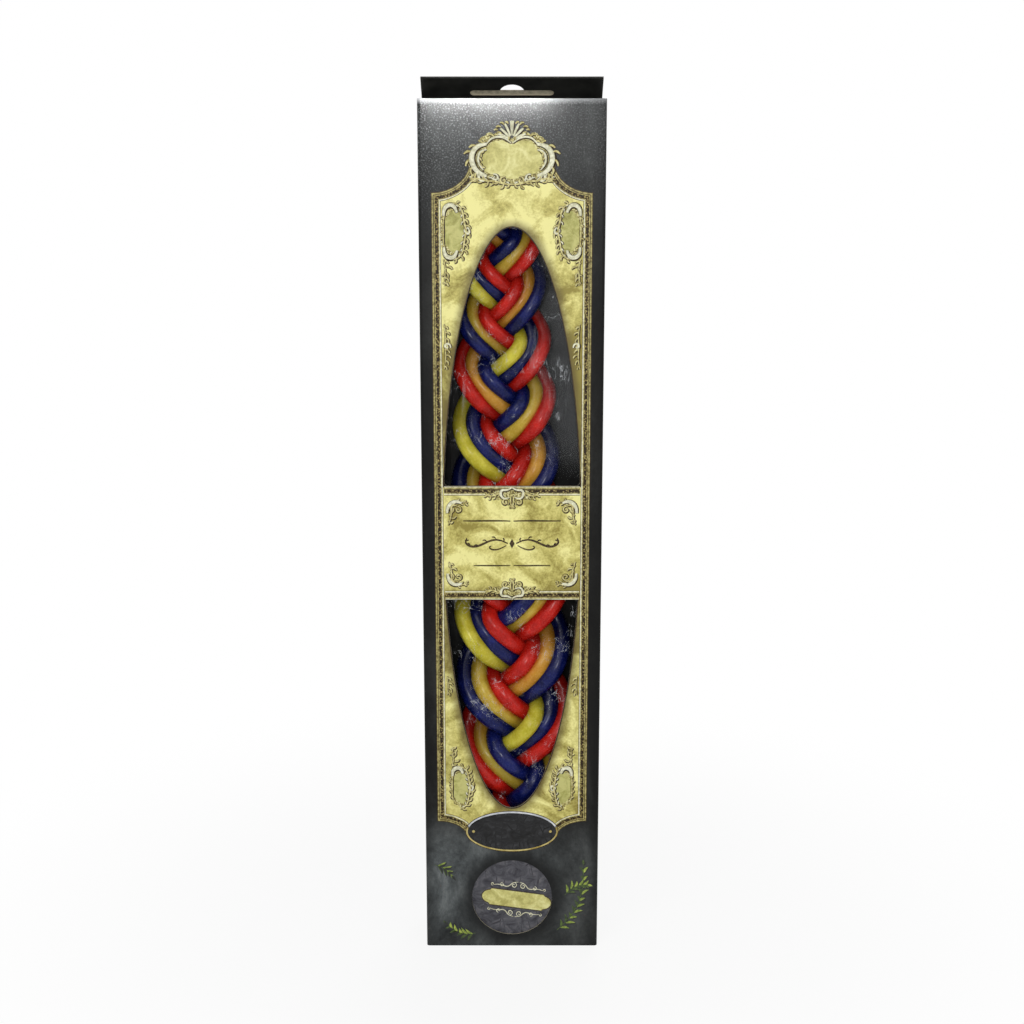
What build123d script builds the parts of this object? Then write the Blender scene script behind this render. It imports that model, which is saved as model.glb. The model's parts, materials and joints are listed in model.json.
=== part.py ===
from build123d import *
import math
import os

import numpy as np

os.makedirs("parts", exist_ok=True)

# A plaited candle and a round spice box in a windowed hanging carton.
# Millimetres, +Z up, the front faces -Y, the origin is the middle of the base.

# Board, card and film
board = 0.5
card = 0.5
film = 0.15
crease_radius = 1.2
fit = 0.1

# Carton
carton_width = 70.0
bottom_layers = 3
glue_flap_width = 13.0
glue_flap_short = 7.0
bottom_flap_short = 5.0
bottom_dust_length = 27.0

# Lid, tuck flap, dust flaps and hang tab
lid_side_room = 0.2
lid_corner = 1.5
tuck_length = 12.0
tuck_room = 0.55
tuck_side_room = 2.0
tuck_corner = 6.0
dust_length = 28.0
dust_front_room = 5.0
dust_rear_room = 2.0
dust_corner = 2.5
dust_slant = 0.6
tab_height = 12.0
tab_side_room = 0.4
tab_rise = 38.0
tab_fold_radius = 0.4
slot_width = 32.0
slot_height = 3.0
slot_centre = 3.2
bump_width = 9.2
bump_rise = 3.4

# Window in the front panel, in two parts above and below a label band
window_height = 232.2
window_width = 53.0
window_centre = 177.0
band_low = 148.3
band_high = 194.2
window_corner = 1.5
film_margin = 3.0

# Spice box behind a round hole
hole_diameter = 32.8
spice_diameter = 39.4
spice_wall = 1.2
spice_skirt = 8.0
spice_lid_fit = 0.06
spice_edge = 0.6
spice_room = 0.3
label_diameter = 36.4
label_thickness = 0.2
label_room = 0.3
clove_sides = 6
clove_crown = 1.1
clove_head = 1.9
clove_neck = 3.0
clove_stem = 0.9
clove_tip = 0.6
clove_length = 9.0
clove_room = 0.15
clove_step = 17.0
clove_columns = 5
clove_rows = 2

# Insert that carries the candle above the spice box
shelf_height = 43.0
leg_room = 0.5
insert_side_room = 0.2

# Candle: three ribbons of three strands in one flat plait
candle_length = 267.5
strand_diameter = 5.3
strand_sides = 8
strand_pitch = 5.6
ribbon_swing = 12.6
plait_period = 80.0
plait_depth = 23.0
top_fullness = 0.765
taper_from = 125.0
taper_to = 218.0
first_turn = 160.5
plait_shift = 3.0
plait_lean = -0.033
candle_front_room = 1.2
candle_back_room = 3.65
dive_lead = 0.3
dive_sharpness = 1.0
layer_depth = 7.0
tip_length = 7.0
tip_share = 0.5
wick_diameter = 1.4
wick_sides = 8
wick_length = 12.0
head_room = 15.0

# How the strands are laid and eased apart
laid_stations = 96
spare_stations = 8
settle_steps = 400
settle_share = 1.12
start_share = 0.5
grow_time = 0.6
push_rate = 1.6
stiffness = 0.015
hold_rate = 0.005
least_length = 1e-9

# Places that follow from the sizes above
half_width = carton_width / 2
carton_depth = (2 * board + film + candle_front_room + plait_depth
                + candle_back_room + card + board)
half_depth = carton_depth / 2
floor_top = bottom_layers * board
shelf_top = floor_top + shelf_height
candle_top = shelf_top + candle_length
carton_height = candle_top + wick_length + head_room + 2 * board
front_inside = -half_depth + board
back_inside = half_depth - board
card_front = back_inside - board - card
candle_y = front_inside + film + candle_front_room + plait_depth / 2
spice_radius = spice_diameter / 2
spice_z = floor_top + spice_room + spice_radius
leg_x = spice_radius + leg_room

names = []


def save(piece, name):
    piece.part.label = name
    export_step(piece.part, f"parts/{name}.step")
    names.append(name)


def plate(width, depth, thickness, x, y, low):
    with BuildPart() as flat:
        with BuildSketch(Plane.XY.offset(low)):
            with Locations((x, y)):
                Rectangle(width, depth)
        extrude(amount=thickness)
    return flat


# Sleeve: one board wrapped round four creases, cut into its panels
def sleeve_ring(keep_width, keep_depth, keep_x, keep_y):
    inner_width = carton_width - 2 * board
    inner_depth = carton_depth - 2 * board
    RectangleRounded(carton_width, carton_depth, crease_radius)
    RectangleRounded(inner_width, inner_depth, crease_radius - board, mode=Mode.SUBTRACT)
    with Locations((keep_x, keep_y)):
        Rectangle(keep_width, keep_depth, mode=Mode.INTERSECT)


side_run = carton_depth - 2 * crease_radius
edge_y = half_depth - crease_radius / 2

with BuildPart() as front_panel:
    with BuildSketch(Plane.XY):
        sleeve_ring(carton_width, crease_radius, 0, -edge_y)
    extrude(amount=carton_height)
    with BuildSketch(Plane.XZ.offset(half_depth)):
        with Locations((0, window_centre)):
            Ellipse(window_width / 2, window_height / 2)
        with Locations((0, (band_low + band_high) / 2)):
            Rectangle(carton_width, band_high - band_low, mode=Mode.SUBTRACT)
    extrude(amount=-crease_radius, mode=Mode.SUBTRACT)
    band_edges = [
        edge for edge in front_panel.edges().filter_by(Axis.Y)
        if band_low - fit < edge.center().Z < band_high + fit and abs(edge.center().X) < window_width / 2
    ]
    fillet(band_edges, window_corner)
    with BuildSketch(Plane.XZ.offset(half_depth)):
        with Locations((0, spice_z)):
            Circle(hole_diameter / 2)
    extrude(amount=-crease_radius, mode=Mode.SUBTRACT)
save(front_panel, "front_panel")

with BuildPart() as back_panel:
    with BuildSketch(Plane.XY):
        sleeve_ring(carton_width, crease_radius, 0, edge_y)
    extrude(amount=carton_height - board)
save(back_panel, "back_panel")

for side, name in ((-1, "left_side_panel"), (1, "right_side_panel")):
    with BuildPart() as side_panel:
        with BuildSketch(Plane.XY):
            sleeve_ring(crease_radius, side_run, side * (half_width - crease_radius / 2), 0)
        extrude(amount=carton_height - 2 * board)
    save(side_panel, name)

with BuildPart() as glue_flap:
    with BuildSketch(Plane.XZ.offset(-back_inside)):
        with BuildLine():
            flap_edge = -half_width + crease_radius
            flap_top = carton_height - glue_flap_short
            Polyline(
                (flap_edge, glue_flap_short),
                (flap_edge + glue_flap_width, glue_flap_short + glue_flap_width / 2),
                (flap_edge + glue_flap_width, flap_top - glue_flap_width / 2),
                (flap_edge, flap_top),
                close=True,
            )
        make_face()
    extrude(amount=board)
save(glue_flap, "glue_flap")

# Glued bottom: two dust flaps under an inner and an outer flap
inner_width = carton_width - 2 * board - 2 * fit
inner_depth = carton_depth - 2 * crease_radius
bottom_outer_flap = plate(inner_width, inner_depth, board, 0, 0, 0)
save(bottom_outer_flap, "bottom_outer_flap")
bottom_inner_flap = plate(
    inner_width, inner_depth - bottom_flap_short, board, 0, bottom_flap_short / 2, board)
save(bottom_inner_flap, "bottom_inner_flap")
for side, name in ((-1, "bottom_dust_left"), (1, "bottom_dust_right")):
    dust_x = side * (inner_width - bottom_dust_length) / 2
    bottom_dust = plate(bottom_dust_length, inner_depth, board, dust_x, 0, 2 * board)
    save(bottom_dust, name)

# Clear film glued behind the window
film_height = window_height + 2 * film_margin
with BuildPart() as window_film:
    with BuildSketch(Plane.XZ.offset(-front_inside)):
        with Locations((0, window_centre)):
            RectangleRounded(window_width + 2 * film_margin, film_height, film_margin)
    extrude(amount=-film)
save(window_film, "window_film")

# Top closure: lid on the back panel, tuck flap under its front edge
lid_width = carton_width - 2 * lid_side_room
tuck_front = front_inside + tuck_room
lid_depth = half_depth - tuck_front
with BuildPart() as lid_panel:
    with BuildSketch(Plane.XY.offset(carton_height - board)) as lid_outline:
        with Locations((0, half_depth - lid_depth / 2)):
            Rectangle(lid_width, lid_depth)
        chamfer(lid_outline.vertices().group_by(Axis.Y)[0], lid_corner)
    extrude(amount=board)
save(lid_panel, "lid_panel")

with BuildPart() as tuck_flap:
    with BuildSketch(Plane.XZ.offset(-tuck_front)) as tuck_outline:
        with Locations((0, carton_height - board - tuck_length / 2)):
            Rectangle(carton_width - 2 * tuck_side_room - 2 * board, tuck_length)
        fillet(tuck_outline.vertices().group_by(Axis.Z)[0], tuck_corner)
    extrude(amount=-board)
save(tuck_flap, "tuck_flap")

dust_front = front_inside + dust_front_room
dust_rear = back_inside - dust_rear_room
for side, name in ((-1, "dust_flap_left"), (1, "dust_flap_right")):
    with BuildPart() as dust_flap:
        with BuildSketch(Plane.XY.offset(carton_height - 2 * board)) as dust_outline:
            inner_end = side * (half_width - dust_length)
            with BuildLine():
                Polyline(
                    (side * half_width, dust_front),
                    (side * half_width, dust_rear),
                    (inner_end, dust_rear - dust_slant * dust_length),
                    (inner_end, dust_front),
                    close=True,
                )
            make_face()
            ends = dust_outline.vertices().sort_by(Axis.X, reverse=side < 0)[:2]
            fillet(ends, dust_corner)
        extrude(amount=board)
    save(dust_flap, name)

# Hang tab: two layers folded over at the top, with a slot for a display hook
tab_lean = math.radians(tab_rise)
tab_plane = Plane(
    origin=(0, half_depth - 2 * board, carton_height),
    x_dir=(1, 0, 0),
    z_dir=(0, -math.sin(tab_lean), -math.cos(tab_lean)),
)
slot_top = slot_centre + slot_height / 2
for layer, name in ((0, "hang_tab_front"), (1, "hang_tab_rear")):
    with BuildPart() as tab_layer:
        with BuildSketch(tab_plane.offset(-layer * board)):
            with Locations((0, tab_height / 2)):
                Rectangle(carton_width - 2 * tab_side_room, tab_height)
            with Locations((0, slot_centre)):
                SlotOverall(slot_width, slot_height, mode=Mode.SUBTRACT)
            with BuildLine():
                ThreePointArc((-bump_width / 2, slot_top), (0, slot_top + bump_rise), (bump_width / 2, slot_top))
                Polyline(
                    (bump_width / 2, slot_top),
                    (bump_width / 2, slot_centre),
                    (-bump_width / 2, slot_centre),
                    (-bump_width / 2, slot_top),
                )
            make_face(mode=Mode.SUBTRACT)
        extrude(amount=-board)
        top_edges = tab_layer.edges().filter_by(Axis.X).group_by(Axis.Z)
        fold_edge = top_edges[-1] if layer else top_edges[-2]
        fillet(fold_edge.sort_by(Axis.Y)[0 if layer == 0 else -1], tab_fold_radius)
    save(tab_layer, name)

# Black card behind the candle, and the shelf with two legs under it
insert_width = carton_width - 2 * crease_radius - 2 * insert_side_room
backing_height = carton_height - 2 * board - floor_top - insert_side_room
backing_card = plate(insert_width, card, backing_height, 0, card_front + card / 2, floor_top)
save(backing_card, "backing_card")

shelf_front = front_inside + film + insert_side_room
shelf_depth = card_front - shelf_front
shelf_y = (card_front + shelf_front) / 2
shelf_panel = plate(insert_width, shelf_depth, card, 0, shelf_y, shelf_top - card)
save(shelf_panel, "shelf_panel")
for side, name in ((-1, "shelf_leg_left"), (1, "shelf_leg_right")):
    shelf_leg = plate(card, shelf_depth, shelf_height - card, side * (leg_x + card / 2), shelf_y, floor_top)
    save(shelf_leg, name)


# Candle strands
# Ribbons swing from side to side a third of a period apart, pass in front on the way
# in and behind on the way out. Strands that would share a place are then eased apart.
# The plait is laid a little longer than the candle and cut to length.
station_step = candle_length / laid_stations
heights = shelf_top + station_step * np.arange(-spare_stations, laid_stations + spare_stations + 1)
stations = len(heights)
foot_station = spare_stations
top_station = spare_stations + laid_stations
fullness = 1 - (1 - top_fullness) * np.clip(
    (heights - shelf_top - taper_from) / (taper_to - taper_from), 0, 1)
diameters = strand_diameter * fullness
axis_x = plait_shift + plait_lean * (heights - shelf_top)


def ribbon_phase():
    rate = 2 * math.pi * station_step / (plait_period * fullness)
    phase = -np.cumsum(rate)
    return phase + math.pi / 2 - np.interp(shelf_top + first_turn, heights, phase)


def planned_path(phase, place):
    lean = 2 * math.pi * ribbon_swing / plait_period * np.cos(phase)
    pitch = strand_pitch * np.sqrt(1 + lean ** 2)
    x = axis_x + fullness * (ribbon_swing * np.sin(phase) + place * pitch)
    dive = phase + place * dive_lead * np.cos(phase)
    y = fullness * layer_depth * np.tanh(dive_sharpness * np.sin(2 * dive))
    return np.stack([x, y], axis=1)


def eased_apart(paths):
    planned_x = paths[:, :, 0].copy()
    reach = math.ceil(strand_diameter / station_step)
    half_room = (plait_depth * fullness - diameters) / 2
    strands = np.arange(len(paths))
    for step in range(settle_steps):
        grown = settle_share * min(1, start_share + (1 - start_share) * step / (grow_time * settle_steps))
        push = np.zeros_like(paths)
        touching = np.zeros(paths.shape[:2])
        for offset in range(-reach, reach + 1):
            low = max(0, -offset)
            high = min(stations, stations - offset)
            apart = paths[:, None, low:high] - paths[None, :, low + offset:high + offset]
            distance = np.linalg.norm(apart, axis=3) + least_length
            wanted = grown * (diameters[low:high] + diameters[low + offset:high + offset]) / 2
            level = np.sqrt(np.maximum(wanted ** 2 - (offset * station_step) ** 2, 0))
            short = np.maximum(level - distance, 0)
            short[strands, strands] = 0
            push[:, low:high] += (apart * (short / distance)[..., None]).sum(axis=1) / 2
            touching[:, low:high] += (short > 0).sum(axis=1)
        paths = paths + push_rate * push / np.maximum(touching, 1)[..., None]
        ends = np.pad(paths, ((0, 0), (2, 2), (0, 0)), mode="reflect", reflect_type="odd")
        bend = np.diff(ends, n=4, axis=1)
        paths = paths - stiffness * bend
        paths[:, :, 0] += hold_rate * (planned_x - paths[:, :, 0])
        paths[:, :, 1] = np.clip(paths[:, :, 1], -half_room, half_room)
    return paths


ribbons = (
    ("a", ("red", "amber", "blue")),
    ("b", ("yellow", "blue", "red")),
    ("c", ("blue", "gold", "red")),
)
phase_a = ribbon_phase()
strand_names = []
plans = []
for ribbon, (letter, colours) in enumerate(ribbons):
    for place, colour in zip((-1, 0, 1), colours):
        strand_names.append(f"{letter}_{colour}")
        plans.append(planned_path(phase_a - ribbon * 2 * math.pi / len(ribbons), place))
strand_paths = eased_apart(np.array(plans))


def level_section(centre, slope, radius):
    # The level cut of a round rod that leans by slope: a circle stretched along the lean
    tilt = math.hypot(*slope)
    along = np.array(slope) / max(tilt, least_length)
    corners = []
    for corner in range(strand_sides):
        turn = 2 * math.pi * corner / strand_sides
        spoke = np.array((math.cos(turn), math.sin(turn)))
        spoke = spoke + along * np.dot(along, spoke) * (math.sqrt(1 + tilt ** 2) - 1)
        corners.append(tuple(centre + radius * spoke))
    return corners


for strand_name, path in zip(strand_names, strand_paths):
    slopes = np.gradient(path, station_step, axis=0)
    with BuildPart() as strand:
        for station in range(foot_station, top_station + 1):
            height = heights[station]
            tip = min(1, (candle_top - height) / tip_length)
            round_tip = tip_share + (1 - tip_share) * math.sqrt(1 - (1 - tip) ** 2)
            centre = path[station] + np.array((0, candle_y))
            radius = round_tip * diameters[station] / 2
            with BuildSketch(Plane.XY.offset(height)):
                with BuildLine():
                    Polyline(*level_section(centre, slopes[station], radius), close=True)
                make_face()
        loft(ruled=True)
    save(strand, f"strand_{strand_name}")

for strand_name, path in zip(strand_names, strand_paths):
    with BuildPart() as wick:
        with BuildSketch(Plane.XY.offset(candle_top)):
            with Locations((path[top_station][0], path[top_station][1] + candle_y)):
                RegularPolygon(wick_diameter / 2, wick_sides)
        extrude(amount=wick_length)
    save(wick, f"wick_{strand_name}")

# Spice box: a cup and a lid that slips over it, turned about a level axis
spice_axis = Axis((0, 0, spice_z), (0, 1, 0))
spice_plane = Plane.XY.offset(spice_z)
lid_front = front_inside + label_room + label_thickness
cup_front = lid_front + spice_wall
cup_back = card_front - spice_room
cup_radius = spice_radius - spice_wall - spice_lid_fit

with BuildPart() as spice_cup:
    with BuildSketch(spice_plane):
        with BuildLine():
            Polyline(
                (0, cup_back),
                (cup_radius, cup_back),
                (cup_radius, cup_front),
                (cup_radius - spice_wall, cup_front),
                (cup_radius - spice_wall, cup_back - spice_wall),
                (0, cup_back - spice_wall),
                close=True,
            )
        make_face()
    revolve(axis=spice_axis)
    chamfer(spice_cup.edges().sort_by(Axis.Y)[-1], spice_edge)
save(spice_cup, "spice_cup")

with BuildPart() as spice_lid:
    with BuildSketch(spice_plane):
        with BuildLine():
            Polyline(
                (0, lid_front),
                (spice_radius, lid_front),
                (spice_radius, lid_front + spice_skirt),
                (spice_radius - spice_wall, lid_front + spice_skirt),
                (spice_radius - spice_wall, cup_front),
                (0, cup_front),
                close=True,
            )
        make_face()
    revolve(axis=spice_axis)
    fillet(spice_lid.edges().sort_by(Axis.Y)[0], spice_edge)
save(spice_lid, "spice_lid")

with BuildPart() as spice_label:
    with BuildSketch(Plane.XZ.offset(-lid_front)):
        with Locations((0, spice_z)):
            Circle(label_diameter / 2)
    extrude(amount=label_thickness)
save(spice_label, "spice_label")

# Cloves lying along the bottom of the cup: a bud on a tapered stem
bed_radius = cup_radius - spice_wall - clove_head - clove_room
clove_profile = (
    (0, clove_crown),
    (clove_head, clove_head),
    (clove_neck, clove_stem),
    (clove_length, clove_tip),
)
with BuildPart() as clove_buds:
    for row in range(clove_rows):
        clove_front = cup_front + 2 * clove_room + row * (clove_length + 2 * clove_room)
        for column in range(clove_columns):
            turn = math.radians(-90 + clove_step * (column - (clove_columns - 1) / 2))
            clove_x = bed_radius * math.cos(turn)
            clove_z = spice_z + bed_radius * math.sin(turn)
            for reach, radius in clove_profile:
                with BuildSketch(Plane.XZ.offset(-clove_front - reach)):
                    with Locations((clove_x, clove_z)):
                        RegularPolygon(radius, clove_sides)
            loft(ruled=True)
save(clove_buds, "clove_buds")

print(f"{len(names)} pieces, carton {carton_width:.1f} x {carton_depth:.1f} x {carton_height:.1f} mm")
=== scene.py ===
import json
import math
from functools import partialmethod

import bmesh
import bpy
from mathutils import Matrix, Vector, kdtree


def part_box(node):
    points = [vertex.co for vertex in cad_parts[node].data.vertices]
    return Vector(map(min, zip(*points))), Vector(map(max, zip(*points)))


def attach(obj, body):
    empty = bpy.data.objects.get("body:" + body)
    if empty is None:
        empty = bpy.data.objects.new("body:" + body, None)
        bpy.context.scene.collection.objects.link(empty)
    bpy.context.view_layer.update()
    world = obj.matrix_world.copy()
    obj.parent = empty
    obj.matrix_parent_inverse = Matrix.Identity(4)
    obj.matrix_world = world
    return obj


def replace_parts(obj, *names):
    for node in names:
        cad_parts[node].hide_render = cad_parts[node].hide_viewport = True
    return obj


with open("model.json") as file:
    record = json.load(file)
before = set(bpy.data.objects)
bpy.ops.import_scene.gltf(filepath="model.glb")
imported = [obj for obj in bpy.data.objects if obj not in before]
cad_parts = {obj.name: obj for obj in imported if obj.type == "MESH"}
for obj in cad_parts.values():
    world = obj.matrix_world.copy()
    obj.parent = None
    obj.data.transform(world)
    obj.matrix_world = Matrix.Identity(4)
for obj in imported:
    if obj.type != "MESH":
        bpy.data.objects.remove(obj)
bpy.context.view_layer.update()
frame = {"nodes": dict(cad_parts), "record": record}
mm = 0.001

# Places taken from the frame, in metres
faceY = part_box("front_panel")[0].y
filmLow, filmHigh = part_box("window_film")
labelLow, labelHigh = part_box("spice_label")
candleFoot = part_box("strand_b_blue")[0].z
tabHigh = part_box("hang_tab_rear")[1]
spiceZ = (labelLow.z + labelHigh.z) / 2 / mm
print("frame loaded:", len(frame["nodes"]), "nodes")


# Shader maths: one output socket, whose arithmetic adds Math nodes
def feed(tree, slot, value):
    if isinstance(value, Wire):
        tree.links.new(value.socket, slot)
    else:
        slot.default_value = value


class Wire:
    def __init__(self, tree, socket):
        self.tree = tree
        self.socket = socket

    def math(self, operation, *others):
        node = self.tree.nodes.new("ShaderNodeMath")
        node.operation = operation
        for slot, value in zip(node.inputs, (self, *others)):
            feed(self.tree, slot, value)
        return Wire(self.tree, node.outputs[0])

    __add__ = partialmethod(math, "ADD")
    __radd__ = __add__
    __mul__ = partialmethod(math, "MULTIPLY")
    __rmul__ = __mul__
    __sub__ = partialmethod(math, "SUBTRACT")
    __truediv__ = partialmethod(math, "DIVIDE")
    __abs__ = partialmethod(math, "ABSOLUTE")
    __lt__ = partialmethod(math, "LESS_THAN")
    __gt__ = partialmethod(math, "GREATER_THAN")
    least = partialmethod(math, "MINIMUM")
    most = partialmethod(math, "MAXIMUM")
    power = partialmethod(math, "POWER")

    def __rsub__(self, other):
        return (self * -1) + other


def seenRays(tree):
    # one where the camera sees a thing directly, in a gloss or through the film
    path = tree.nodes.new("ShaderNodeLightPath")
    rays = [Wire(tree, path.outputs[f"Is {kind} Ray"]) for kind in ("Camera", "Glossy", "Transmission")]
    return rays[0].most(rays[1]).most(rays[2])


class Finish:
    # A material: nodes are added with node(), and the shader's sockets are set with surface()
    def __init__(self, name):
        self.material = bpy.data.materials.new(name)
        self.material.use_nodes = True
        self.tree = self.material.node_tree
        self.shader = self.tree.nodes["Principled BSDF"]

    def node(self, kind, settings=None, inputs=None, output=0):
        made = self.tree.nodes.new("ShaderNode" + kind)
        for key, value in (settings or {}).items():
            if key == "stops":
                ramp = made.color_ramp.elements
                while len(ramp) < len(value):
                    ramp.new(1)
                for stop, (place, colour) in zip(ramp, value):
                    stop.position = place
                    stop.color = (*colour, 1)
            else:
                setattr(made, key, value)
        for key, value in (inputs or {}).items():
            feed(self.tree, made.inputs[key], value)
        return Wire(self.tree, made.outputs[output])

    def place(self, scale=(1, 1, 1), turn=(0, 0, 0)):
        coords = self.node("TexCoord", output="Object")
        return self.node("Mapping", {}, {"Vector": coords, "Scale": scale, "Rotation": turn})

    def parts(self, output):
        split = self.tree.nodes.new("ShaderNodeSeparateXYZ")
        feed(self.tree, split.inputs[0], self.node("TexCoord", output=output))
        return [Wire(self.tree, part) for part in split.outputs]

    def axes(self):
        return [part / mm for part in self.parts("Object")]

    def noise(self, size, detail=3, rough=0.55, stretch=(1, 1, 1), turn=(0, 0, 0), warp=0):
        return self.node("TexNoise", {}, {
            "Vector": self.place(stretch, turn), "Scale": 1 / (size * mm), "Detail": detail,
            "Roughness": rough, "Distortion": warp})

    def cells(self, size, feature="F1", stretch=(1, 1, 1), turn=(0, 0, 0)):
        return self.node("TexVoronoi", {"feature": feature}, {
            "Vector": self.place(stretch, turn), "Scale": 1 / (size * mm)})

    def ramp(self, factor, *stops):
        return self.node("ValToRGB", {"stops": stops}, {"Fac": factor})

    def span(self, value, low, high, start=0, end=1):
        return self.node("MapRange", {"interpolation_type": "SMOOTHSTEP"}, {
            "Value": value, "From Min": low, "From Max": high, "To Min": start, "To Max": end})

    def mix(self, factor, first, second):
        made = self.tree.nodes.new("ShaderNodeMix")
        made.data_type = "RGBA"
        for place, value in ((0, factor), (6, first), (7, second)):
            if isinstance(value, tuple):
                value = (*value, 1)
            feed(self.tree, made.inputs[place], value)
        return Wire(self.tree, made.outputs[2])

    def bump(self, height, depth, strength=1.0):
        return self.node("Bump", {}, {"Height": height, "Distance": depth * mm, "Strength": strength})

    def surface(self, **sockets):
        for key, value in sockets.items():
            slot = self.shader.inputs[key.replace("_", " ").title().replace("Ior", "IOR")]
            if isinstance(value, tuple):
                value = (*value, 1)
            feed(self.tree, slot, value)
        return self.material

    def plain(self, colour, rough, relief, shine=0.5):
        # relief is the bump's height, depth in millimetres and strength
        return self.surface(base_color=colour, roughness=rough, normal=self.bump(*relief),
                            specular_ior_level=shine)


# Finishes of the carton
boardTones = {"raw": (0.40, 0.36, 0.27), "inside": (0.055, 0.055, 0.052), "hole": (0.006, 0.006, 0.006)}
slate = {
    "deep": (0.004, 0.004, 0.004), "mid": (0.013, 0.013, 0.012), "pale": (0.035, 0.036, 0.034),
    "stoneDark": (0.028, 0.031, 0.032), "stoneMid": (0.095, 0.105, 0.107),
    "stonePale": (0.215, 0.232, 0.232),
    "cloudSize": 26, "patchSize": 17, "fibreSize": 1.3, "sparkleSize": 0.6,
    "top": (268, 345), "paintedSheenShare": 0.30,
    "foot": (62, 36), "sole": (2, 24), "soleShare": 0.55, "leftward": (34, -26), "rightShare": 0.35,
    "side": (29, 35), "sideShadeShare": 0.6,
    "holeShade": (25, 16.6), "holeShare": 0.85,
    "gloss": (286, 338), "coat": 0.6, "grain": 0.012,
    "paintedGlint": (0.45, 0.48, 0.49), "paintedGlintShare": 0.42,
    "rim": (338.4, 341), "edgeHighlightTone": (0.90, 0.92, 0.94), "edgeHighlightShare": 0.85,
}


def slatePrint(finish):
    clouds = finish.noise(slate["cloudSize"], 6, 0.6, stretch=(1.6, 1.6, 0.55), warp=0.6)
    fibre = finish.noise(slate["fibreSize"], 4, 0.7, stretch=(1, 1, 0.8))
    base = finish.ramp(clouds + (fibre - 0.5) * 0.25,
                       (0.28, slate["deep"]), (0.52, slate["mid"]), (0.78, slate["pale"]))
    patches = finish.noise(slate["patchSize"], 8, 0.70, stretch=(1, 1, 0.7), warp=0.4)
    stone = finish.ramp(patches + (fibre - 0.5) * 0.2,
                        (0.32, slate["stoneDark"]), (0.50, slate["stoneMid"]), (0.70, slate["stonePale"]))
    x, y, z = finish.axes()
    # painted sheen: the stone is paler towards the top
    top = finish.span(z, *slate["top"]) * slate["paintedSheenShare"]
    # painted light on the stone at the foot: lighter to the left, darker to the right and at the very
    # bottom
    paintedLight = finish.span(x, *slate["leftward"], slate["rightShare"], 1.0)
    paintedLight = paintedLight * finish.span(z, *slate["sole"], slate["soleShare"], 1.0)
    foot = finish.span(z, *slate["foot"]) * paintedLight
    base = finish.mix(foot.most(top), base, stone)
    # painted shade: darker far out to the side, towards the front's side edges and on the side boards
    base = finish.mix(finish.span(abs(x), *slate["side"]) * slate["sideShadeShare"], base, slate["deep"])
    return base, fibre, clouds, x, z


def cartonBoard(name, outward, front=False):
    finish = Finish(name)
    base, fibre, clouds, x, z = slatePrint(finish)
    sparkle = finish.noise(slate["sparkleSize"], 2, 0.6)
    gloss = finish.span(z, *slate["gloss"])
    if front:
        # painted shade round the spice hole, painted glints in the varnish and a painted highlight along
        # the top edge
        reach = (x * x + (z - spiceZ) * (z - spiceZ)).power(0.5)
        hole = finish.span(reach, *slate["holeShade"]) * slate["holeShare"]
        base = finish.mix(hole, base, boardTones["hole"])
        paintedGlint = gloss * finish.span(sparkle, 0.50, 0.70) * finish.span(x, 30, -20, 0.3, 1.0)
        base = finish.mix(paintedGlint * slate["paintedGlintShare"], base, slate["paintedGlint"])
        # painted highlight: a bright line along the top edge
        rim = finish.span(z + sparkle * 1.6, *slate["rim"]) * finish.span(x, 38, -6, 0.25, 1.0)
        base = finish.mix(rim * slate["edgeHighlightShare"], base, slate["edgeHighlightTone"])
    # print on the outer side, dark board on the inner side, raw board at the cut edges
    nx, ny, nz = finish.parts("Normal")
    along = nx * outward[0] + ny * outward[1] + nz * outward[2]
    printed = along > 0.2
    inside = along < -0.5
    board = finish.mix(inside, boardTones["raw"], boardTones["inside"])
    varnish = gloss * finish.span(sparkle, 0.36, 0.64, 0.25, 1.0)
    return finish.surface(
        base_color=finish.mix(printed, board, base),
        roughness=0.34 + clouds * 0.08 + (1 - printed) * 0.35,
        normal=finish.bump(sparkle * 3.5 + fibre * 0.3, slate["grain"]),
        specular_ior_level=0.10,
        coat_weight=printed * varnish * slate["coat"],
        coat_roughness=0.095)


tab = {
    "top": tabHigh.z / mm, "edge": tabHigh.x / mm, "fold": 1.0, "worn": 0.3, "wornTone": (0.15, 0.15, 0.14),
    "dark": (0.012, 0.012, 0.011), "pale": (0.030, 0.030, 0.027),
}


def blackTab():
    finish = Finish("black tab board")
    nx, ny, nz = finish.parts("Normal")
    flat = finish.span(abs(ny + nz), 1.2, 1.38)
    x, y, z = finish.axes()
    foldFrom = tab["top"] - tab["fold"]
    fold = finish.span(z, foldFrom - 0.3, foldFrom) * (abs(x) < tab["edge"] - 0.05)
    black = finish.ramp(finish.noise(7, 4, 0.6), (0.3, tab["dark"]), (0.7, tab["pale"]))
    colour = finish.mix(flat.most(fold), boardTones["raw"], black)
    worn = finish.span(z + finish.noise(1.2, 4) * 0.3, tab["top"] - tab["worn"], tab["top"] + 0.1)
    colour = finish.mix(worn, colour, tab["wornTone"])
    return finish.plain(colour, 0.40 + (1 - flat) * 0.3, (finish.noise(0.7, 3, 0.7), 0.03, 0.4), 0.15)


liner = {"deep": (0.002, 0.002, 0.002), "mid": (0.007, 0.007, 0.006), "pale": (0.026, 0.026, 0.024)}


def blackCard():
    finish = Finish("black liner card")
    creases = finish.cells(9, "DISTANCE_TO_EDGE", stretch=(1, 1, 0.5))
    crumple = finish.noise(6, 5, 0.62, stretch=(1.2, 1, 0.5), warp=1.5)
    haze = finish.noise(30, 4, 0.6)
    colour = finish.ramp(crumple * 0.7 + haze * 0.3,
                         (0.36, liner["deep"]), (0.56, liner["mid"]), (0.74, liner["pale"]))
    edge = finish.span(creases, 0.0, 0.06)
    return finish.plain(colour, 0.36 + crumple * 0.2, (crumple + edge * 0.25, 0.5, 0.6), 0.18)


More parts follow.
